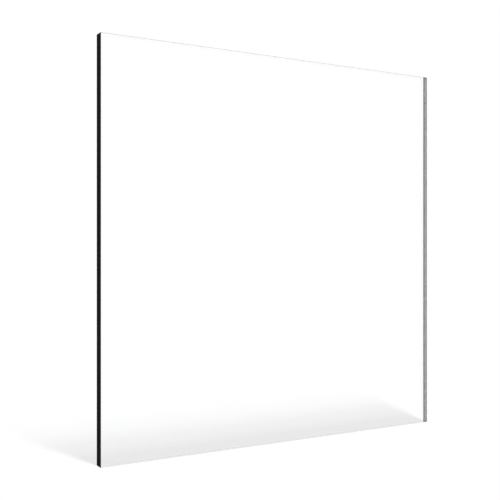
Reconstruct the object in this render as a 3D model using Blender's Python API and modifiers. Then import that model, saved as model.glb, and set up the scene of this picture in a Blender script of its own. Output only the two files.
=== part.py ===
"""Clear acrylic sheet: one square pane cut from 6 mm cast stock, lying flat.

Units are metres and +Z is up. The origin is the centre of the underside, so
the pane spans +-SHEET_WIDTH / 2 along X, +-SHEET_LENGTH / 2 along Y, and goes
from z = 0 to z = THICKNESS.
"""

import math

import bpy

# Size of the pane as it is sold.
SHEET_WIDTH = 0.250
SHEET_LENGTH = 0.250
THICKNESS = 0.006

# Edge finish. One light pass of a scraper takes the sharpness off every edge and
# leaves a very narrow flat at 45 degrees, the arris. Each value is how far that
# flat runs back from the sharp edge: round the two faces, and down the four
# upright corners.
FACE_ARRIS = 0.0001
CORNER_ARRIS = 0.00015

# The faces meet the sides at 90 degrees, and a corner's flat meets them at 45.
# Only edges sharper than this angle are edges of a face.
FACE_EDGE_ANGLE = math.radians(60)

# Finish of cast acrylic with machine-polished edges.
ACRYLIC_COLOUR = (0.94, 0.97, 0.97, 1.0)
ACRYLIC_ROUGHNESS = 0.02
ACRYLIC_IOR = 1.49


def clear_scene():
    """Remove every object that the file opened with."""
    for leftover in list(bpy.data.objects):
        bpy.data.objects.remove(leftover, do_unlink=True)


def clear_acrylic():
    """Colourless, see-through plastic with a polished surface."""
    material = bpy.data.materials.new("clear_acrylic")
    material.use_nodes = True
    shader = material.node_tree.nodes["Principled BSDF"]
    shader.inputs["Base Color"].default_value = ACRYLIC_COLOUR
    shader.inputs["Roughness"].default_value = ACRYLIC_ROUGHNESS
    shader.inputs["Metallic"].default_value = 0.0
    shader.inputs["IOR"].default_value = ACRYLIC_IOR
    shader.inputs["Transmission Weight"].default_value = 1.0
    return material


def blank(name):
    """A sharp-edged block of the pane's full size, resting on z = 0."""
    bpy.ops.mesh.primitive_cube_add(size=1.0)
    pane = bpy.context.object
    pane.name = name
    pane.data.name = name
    pane.scale = (SHEET_WIDTH, SHEET_LENGTH, THICKNESS)
    pane.location = (0.0, 0.0, THICKNESS / 2)
    bpy.ops.object.transform_apply(location=True, rotation=True, scale=True)
    return pane


def scrape_upright_corners(pane):
    """Cut the arris down the four short edges that run through the thickness."""
    weights = pane.data.attributes.new("bevel_weight_edge", "FLOAT", "EDGE")
    for edge in pane.data.edges:
        start, end = (pane.data.vertices[i].co for i in edge.vertices)
        upright = abs(end.z - start.z) > THICKNESS / 2
        weights.data[edge.index].value = 1.0 if upright else 0.0
    arris = pane.modifiers.new("corner_arris", "BEVEL")
    arris.limit_method = "WEIGHT"
    arris.width = CORNER_ARRIS
    arris.segments = 1


def scrape_face_edges(pane):
    """Cut the arris round the upper and the lower face."""
    arris = pane.modifiers.new("face_arris", "BEVEL")
    arris.limit_method = "ANGLE"
    arris.angle_limit = FACE_EDGE_ANGLE
    arris.width = FACE_ARRIS
    arris.segments = 1


def build():
    """The whole object: a single piece of sheet stock."""
    clear_scene()
    stock = bpy.data.collections.new("clear_acrylic_sheet")
    bpy.context.scene.collection.children.link(stock)

    pane = blank("acrylic_sheet")
    scrape_upright_corners(pane)
    scrape_face_edges(pane)
    pane.data.materials.append(clear_acrylic())

    for collection in list(pane.users_collection):
        collection.objects.unlink(pane)
    stock.objects.link(pane)


build()
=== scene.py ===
import math

import bpy
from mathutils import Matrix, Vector


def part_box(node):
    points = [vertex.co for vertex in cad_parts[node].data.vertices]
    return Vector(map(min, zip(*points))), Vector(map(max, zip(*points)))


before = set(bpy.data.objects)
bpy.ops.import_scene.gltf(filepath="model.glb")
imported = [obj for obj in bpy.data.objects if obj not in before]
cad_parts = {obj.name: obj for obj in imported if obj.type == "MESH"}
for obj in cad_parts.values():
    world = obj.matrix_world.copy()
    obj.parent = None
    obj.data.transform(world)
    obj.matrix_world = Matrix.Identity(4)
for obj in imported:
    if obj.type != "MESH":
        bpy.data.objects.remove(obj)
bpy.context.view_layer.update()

# The pane lies flat, centred on the origin. All lengths are in metres.
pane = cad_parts["acrylic_sheet"]
pane_low, pane_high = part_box("acrylic_sheet")
HALF_WIDTH = pane_high.x
HALF_LENGTH = pane_high.y
THICKNESS = pane_high.z - pane_low.z

# The narrow flats at 45 degrees that take the sharpness off the edges of the faces and
# off the four upright corners.
FACE_ARRIS = 0.0001
CORNER_ARRIS = 0.00015

# The camera looks down on the pane from its left, at the photograph's angle to the face.
# The photograph's horizon is a little off its middle line, and the lens is shifted as much.
CAMERA_LENS_MM = 60.45
CAMERA_SENSOR_MM = 36.0
CAMERA_SHIFT = -0.0036
CAMERA_TILT = math.radians(30.95)
CAMERA_DISTANCE = 0.54
CAMERA_AIM = Vector((-0.02135, 0.00106, 0.0))

# The pane touches the floor at its high points only. The film of air under the rest
# keeps the lower face a mirror from the inside.
AIR_FILM = 0.00005
FLOOR_SIZE = 80.0

# The floor's paint, and the strength at which the floor shows where nothing shades it:
# a little over white, so that noise in the light leaves no speck.
FLOOR_WHITE = 0.8
FLOOR_SHOWN = 1.01

# A frame of black card lies round the pane. Only mirror reflections show it, so the
# edges stay dark against the white.
CARD_WIDTH = 0.08
CARD_LEVEL = 0.03

# A wall stands far round the pane, white at its foot and its top and greyer between.
# Only mirror reflections show it, so the face has a soft sheen when seen from low down.
WALL_RADIUS = 10.0
WALL_HEIGHT = 8.0
WALL_SIDES = 64
WALL_LEVEL = 0.5

# Two soft discs of low light come from the right of the camera's picture and a little
# from below. Each has its share of the light on a level surface, how high its middle
# stands, and how wide it looks from the pane.
LAMP_AZIMUTH = math.radians(65.0)
LAMPS = {
    "low_softbox": (0.13, math.radians(7.2), math.radians(7.0)),
    "wide_softbox": (0.13, math.radians(13.0), math.radians(24.0)),
}

# The sky gives the rest, so that a level surface is lit at strength 1 and a colour
# shows about as it is written.
SKY_SHARE = 1.0 - sum(share for share, height, width in LAMPS.values())

# Cast acrylic.
REFRACTIVE_INDEX = 1.49
FACE_TINT = (0.995, 1.0, 0.999, 1.0)
# The edges are painted near black: painted shade, so that they show dark against the white.
PAINTED_EDGE_SHADE = (0.013, 0.013, 0.013, 1.0)

# The two edges across X keep this much of their mirror inside them at the lower face and at the
# upper one. The rest is painted near-black shade, which laps a little onto the upper face.
X_EDGE_CLEARNESS_LOW = 0.34
X_EDGE_CLEARNESS_HIGH = 0.155
X_EDGE_SHADE_LAP = 0.00036

# A narrow margin of the lower face along those edges is painted dark grey: painted shade
# that widens their dark band.
SHADE_MARGIN_WIDTH = 0.00066
SHADE_MARGIN_PAINT = (0.24, 0.24, 0.24, 1.0)
SHADE_MARGIN_CLEARNESS = 0.5

# The two edges across Y are polished, and keep all of their mirror. Their lower arrises are
# painted pale, which is painted light, and the upper one at +Y is painted near black, a painted
# shade line, with a lap onto the face.
LOWER_ARRIS_PAINTED_LIGHT = (0.84, 0.84, 0.84, 1.0)
LOWER_ARRIS_CLEARNESS = 0.2
PAINTED_LINE_LAP = 0.00017

# A mask starts this far short of what it covers, so that no sliver shows.
MASK_SLACK = 0.00001

# The cutter leaves fine upright lines on an edge, this far apart and this many times as
# long. The roughness is that of the dullest of them.
LINE_PITCH = 0.0007
LINE_STRETCH = 10.0
LINE_DEPTH = 0.000004
LINE_ROUGHNESS = 0.08

# A cast face has a slow ripple, and a trace of haze on its crests.
RIPPLE_LENGTH = 0.05
RIPPLE_HEIGHT = 0.00002
RIPPLE_ROUGHNESS = 0.004


def link(tree, value, socket):
    """Feed a socket from another socket, or set it to a plain value."""
    if isinstance(value, bpy.types.NodeSocket):
        tree.links.new(value, socket)
    else:
        socket.default_value = value


def maths(tree, operation, *values):
    """The result of one Math node."""
    node = tree.nodes.new("ShaderNodeMath")
    node.operation = operation
    for value, socket in zip(values, node.inputs):
        link(tree, value, socket)
    return node.outputs[0]


def scaled(tree, amount, low, high):
    """A number that goes from low to high as amount goes from 0 to 1."""
    return maths(tree, "MULTIPLY_ADD", amount, high - low, low)


def grain(tree, vector, length, detail=2.0):
    """Smooth random variation from 0 to 1, with waves of about the given length."""
    noise = tree.nodes.new("ShaderNodeTexNoise")
    link(tree, vector, noise.inputs["Vector"])
    noise.inputs["Scale"].default_value = 1.0 / length
    noise.inputs["Detail"].default_value = detail
    return noise.outputs[0]


def layered(tree, base, *layers):
    """A number or a colour, with each layer laid over the last where its mask is 1."""
    for mask, layer in layers:
        mix = tree.nodes.new("ShaderNodeMix")
        mix.data_type = "RGBA" if isinstance(layer, tuple) else "FLOAT"
        share, under, over = (socket for socket in mix.inputs if socket.enabled)
        link(tree, mask, share)
        link(tree, base, under)
        link(tree, layer, over)
        base = next(socket for socket in mix.outputs if socket.enabled)
    return base


def coordinates(tree):
    """Where a point is on the piece, as a vector and as x, y and z."""
    place = tree.nodes.new("ShaderNodeTexCoord").outputs["Object"]
    apart = tree.nodes.new("ShaderNodeSeparateXYZ")
    link(tree, place, apart.inputs[0])
    return place, *apart.outputs


def blank_material(name):
    """A material with nothing in its tree but the output. Its glow never counts as a lamp."""
    material = bpy.data.materials.new(name)
    material.cycles.emission_sampling = "NONE"
    material.use_nodes = True
    material.node_tree.nodes.clear()
    material.node_tree.nodes.new("ShaderNodeOutputMaterial")
    return material


def finish_material(material, shader):
    """Send a shader to the material's output."""
    tree = material.node_tree
    link(tree, shader, tree.nodes["Material Output"].inputs["Surface"])
    return material


def seen_rays(tree):
    """1 for the rays that show a surface: straight, in a mirror or through glass."""
    rays = tree.nodes.new("ShaderNodeLightPath").outputs
    bent = maths(tree, "MAXIMUM", rays["Is Glossy Ray"], rays["Is Transmission Ray"])
    return maths(tree, "MAXIMUM", rays["Is Camera Ray"], bent)


def upright_lines(tree, x, y, z):
    """The cutter's lines, from 0 to 1. They run through the thickness of the sheet, so
    they change along an edge and hardly in z."""
    upright = tree.nodes.new("ShaderNodeCombineXYZ")
    link(tree, maths(tree, "ADD", x, y), upright.inputs["X"])
    link(tree, maths(tree, "DIVIDE", z, LINE_STRETCH), upright.inputs["Z"])
    return grain(tree, upright.outputs[0], LINE_PITCH, detail=3.0)


def let_light_pass(tree, shader, rim):
    """Soft light passes the sheet, and so does lamplight, but for what has gone in at a
    polished edge: that stays in the sheet, and the edge throws a shadow."""
    rays = tree.nodes.new("ShaderNodeLightPath").outputs
    inside = tree.nodes.new("ShaderNodeNewGeometry").outputs["Backfacing"]
    free = maths(tree, "SUBTRACT", 1.0, maths(tree, "MULTIPLY", inside, rim))
    lamplight = maths(tree, "MULTIPLY", rays["Is Shadow Ray"], free)
    passing = tree.nodes.new("ShaderNodeMixShader")
    link(tree, maths(tree, "MAXIMUM", rays["Is Diffuse Ray"], lamplight), passing.inputs[0])
    link(tree, shader, passing.inputs[1])
    link(tree, tree.nodes.new("ShaderNodeBsdfTransparent").outputs[0], passing.inputs[2])
    return passing.outputs[0]


def clear_acrylic():
    """Clear cast sheet, its faces as cast, its edges painted near black as painted shade."""
    material = blank_material("clear_acrylic")
    tree = material.node_tree
    place, x, y, z = coordinates(tree)

    # Each zone with a finish or painted light or shade of its own is a mask, 1 in the zone
    # and 0 out of it.
    across = maths(tree, "ABSOLUTE", x)
    along = maths(tree, "ABSOLUTE", y)
    lower = maths(tree, "LESS_THAN", z, THICKNESS / 2)
    upper = maths(tree, "SUBTRACT", 1.0, lower)
    # The edges across X, with the lap of their painted shade onto the upper face.
    x_edge_zone_start = scaled(tree, upper, HALF_WIDTH - CORNER_ARRIS - MASK_SLACK, HALF_WIDTH - X_EDGE_SHADE_LAP)
    x_edge_zone = maths(tree, "GREATER_THAN", across, x_edge_zone_start)
    # A margin of the lower face along the edges across X, painted dark grey as painted shade.
    margin = maths(tree, "GREATER_THAN", across, HALF_WIDTH - SHADE_MARGIN_WIDTH)
    painted_shade_margin = maths(tree, "MULTIPLY", lower, margin)
    rim = maths(tree, "GREATER_THAN", along, HALF_LENGTH - FACE_ARRIS - MASK_SLACK)
    polished = maths(tree, "GREATER_THAN", along, HALF_LENGTH - MASK_SLACK)
    # The lower arrises across Y, painted pale as painted light.
    pale_lower_arris = maths(tree, "MULTIPLY", lower, maths(tree, "SUBTRACT", rim, polished))
    # The upper arris at +Y and a lap onto the face are painted near black: a painted shade line.
    dark = maths(tree, "MULTIPLY", upper, maths(tree, "GREATER_THAN", y, HALF_LENGTH - PAINTED_LINE_LAP))
    edge = maths(tree, "MAXIMUM", x_edge_zone, maths(tree, "MAXIMUM", polished, dark))

    # The edges have the lines and the faces the ripple, at heights in metres.
    lines = upright_lines(tree, x, y, z)
    ripple = grain(tree, place, RIPPLE_LENGTH)
    line_height = maths(tree, "MULTIPLY", lines, LINE_DEPTH)
    ripple_height = maths(tree, "MULTIPLY", ripple, RIPPLE_HEIGHT)
    bump = tree.nodes.new("ShaderNodeBump")
    link(tree, layered(tree, ripple_height, (edge, line_height)), bump.inputs["Height"])
    bump.inputs["Distance"].default_value = 1.0

    # The colour holds painted shade on the edges and the lower face's margin, and painted light on
    # the lower arrises across Y.
    tint = layered(tree, FACE_TINT, (pale_lower_arris, LOWER_ARRIS_PAINTED_LIGHT), (painted_shade_margin, SHADE_MARGIN_PAINT), (edge, PAINTED_EDGE_SHADE))
    height_share = maths(tree, "DIVIDE", z, THICKNESS)
    # The painted shade of the edges across X lets less of their mirror through towards the top.
    x_edge_clearness = scaled(tree, height_share, X_EDGE_CLEARNESS_LOW, X_EDGE_CLEARNESS_HIGH)
    clearness = layered(
        tree, 1.0, (pale_lower_arris, LOWER_ARRIS_CLEARNESS), (painted_shade_margin, SHADE_MARGIN_CLEARNESS), (x_edge_zone, x_edge_clearness)
    )
    line_roughness = maths(tree, "MULTIPLY", lines, LINE_ROUGHNESS)
    ripple_roughness = maths(tree, "MULTIPLY", ripple, RIPPLE_ROUGHNESS)
    shader = tree.nodes.new("ShaderNodeBsdfPrincipled")
    shader.inputs["IOR"].default_value = REFRACTIVE_INDEX
    link(tree, tint, shader.inputs["Base Color"])
    link(tree, clearness, shader.inputs["Transmission Weight"])
    link(tree, layered(tree, ripple_roughness, (edge, line_roughness)), shader.inputs["Roughness"])
    link(tree, bump.outputs[0], shader.inputs["Normal"])
    return finish_material(material, let_light_pass(tree, shader.outputs[0], rim))


def pale_floor():
    """Matt white. It adds what paint lacks of pure white, for the rays that show it."""
    material = blank_material("pale_floor")
    tree = material.node_tree
    matt = tree.nodes.new("ShaderNodeBsdfDiffuse")
    matt.inputs["Color"].default_value = (FLOOR_WHITE, FLOOR_WHITE, FLOOR_WHITE, 1.0)
    lift = tree.nodes.new("ShaderNodeEmission")
    lack = maths(tree, "MULTIPLY", seen_rays(tree), FLOOR_SHOWN - FLOOR_WHITE)
    link(tree, lack, lift.inputs["Strength"])
    both = tree.nodes.new("ShaderNodeAddShader")
    link(tree, matt.outputs[0], both.inputs[0])
    link(tree, lift.outputs[0], both.inputs[1])
    return finish_material(material, both.outputs[0])


def black_card():
    """Black card, at the level that it has in a mirror."""
    material = blank_material("black_card")
    tree = material.node_tree
    dark = tree.nodes.new("ShaderNodeEmission")
    dark.inputs["Color"].default_value = (CARD_LEVEL, CARD_LEVEL, CARD_LEVEL, 1.0)
    return finish_material(material, dark.outputs[0])


def grey_wall():
    """White cloth that greys towards half its height, where it has the wall's level."""
    material = blank_material("grey_wall")
    tree = material.node_tree
    *_, height = coordinates(tree)
    swell = maths(tree, "SINE", maths(tree, "MULTIPLY", height, math.pi / WALL_HEIGHT))
    grey = maths(tree, "MULTIPLY", swell, swell)
    cloth = tree.nodes.new("ShaderNodeEmission")
    link(tree, scaled(tree, grey, 1.0, WALL_LEVEL), cloth.inputs["Strength"])
    return finish_material(material, cloth.outputs[0])


def show_in_mirrors_only(thing):
    """Hide a thing from all but mirror reflections."""
    thing.visible_camera = False
    thing.visible_diffuse = False
    thing.visible_transmission = False
    thing.visible_volume_scatter = False
    thing.visible_shadow = False


def lay_floor():
    """A wide level floor, the film of air below the pane."""
    bpy.ops.mesh.primitive_plane_add(size=FLOOR_SIZE, location=(0.0, 0.0, -AIR_FILM))
    floor = bpy.context.object
    floor.name = "floor"
    floor.data.materials.append(pale_floor())


def lay_card():
    """A flat frame of card on the floor, with the pane in its opening."""
    bpy.ops.mesh.primitive_plane_add(size=1.0, location=(0.0, 0.0, -AIR_FILM / 2))
    card = bpy.context.object
    card.name = "card"
    card.scale = (2 * (HALF_WIDTH + CARD_WIDTH), 2 * (HALF_LENGTH + CARD_WIDTH), 1.0)
    bpy.ops.object.transform_apply(location=True, rotation=True, scale=True)
    bpy.ops.object.mode_set(mode="EDIT")
    bpy.ops.mesh.select_all(action="SELECT")
    bpy.ops.mesh.inset(thickness=CARD_WIDTH)
    bpy.ops.mesh.delete(type="FACE")
    bpy.ops.object.mode_set(mode="OBJECT")
    card.data.materials.append(black_card())
    show_in_mirrors_only(card)


def stand_wall():
    """A round wall without floor or roof."""
    bpy.ops.mesh.primitive_cylinder_add(
        vertices=WALL_SIDES, radius=WALL_RADIUS, depth=WALL_HEIGHT, end_fill_type="NOTHING",
        location=(0.0, 0.0, WALL_HEIGHT / 2),
    )
    wall = bpy.context.object
    wall.name = "wall"
    bpy.ops.object.transform_apply(location=True, rotation=True, scale=True)
    wall.data.materials.append(grey_wall())
    show_in_mirrors_only(wall)


def set_sky():
    """White all round for the eye, and even soft light for matt surfaces."""
    world = bpy.data.worlds.new("sky")
    bpy.context.scene.world = world
    world.use_nodes = True
    world.cycles.sampling_method = "NONE"
    tree = world.node_tree
    background = tree.nodes["Background"]
    background.inputs["Color"].default_value = (1.0, 1.0, 1.0, 1.0)
    link(tree, scaled(tree, seen_rays(tree), SKY_SHARE, 1.0), background.inputs["Strength"])


def hang_lamps():
    """Far soft discs of light, which only matt surfaces show. Straight overhead, a disc of
    energy pi lights a level surface at strength 1."""
    for name, (share, height, width) in LAMPS.items():
        lamp = bpy.data.lights.new(name, "SUN")
        lamp.angle = width
        lamp.energy = share * math.pi / math.sin(height)
        holder = bpy.data.objects.new(name, lamp)
        bpy.context.scene.collection.objects.link(holder)
        toward = Vector((
            math.sin(LAMP_AZIMUTH) * math.cos(height),
            -math.cos(LAMP_AZIMUTH) * math.cos(height),
            math.sin(height),
        ))
        holder.rotation_euler = toward.to_track_quat("Z", "Y").to_euler()
        holder.location = toward
        holder.visible_glossy = False
        holder.visible_transmission = False


def place_camera():
    """The camera tilts about Y alone, so the pane's edges along Y stand upright in its picture."""
    data = bpy.data.cameras.new("camera")
    data.sensor_width = CAMERA_SENSOR_MM
    data.lens = CAMERA_LENS_MM
    data.shift_y = CAMERA_SHIFT
    camera = bpy.data.objects.new("camera", data)
    bpy.context.scene.collection.objects.link(camera)
    back = Vector((-math.sin(CAMERA_TILT), 0.0, math.cos(CAMERA_TILT)))
    camera.location = CAMERA_AIM + back * CAMERA_DISTANCE
    camera.rotation_euler = (0.0, -CAMERA_TILT, 0.0)
    bpy.context.scene.camera = camera


bpy.ops.object.select_all(action="DESELECT")
bpy.context.scene.view_settings.view_transform = "Standard"
place_camera()
lay_floor()
lay_card()
stand_wall()
set_sky()
hang_lamps()
pane.material_slots[0].material = clear_acrylic()
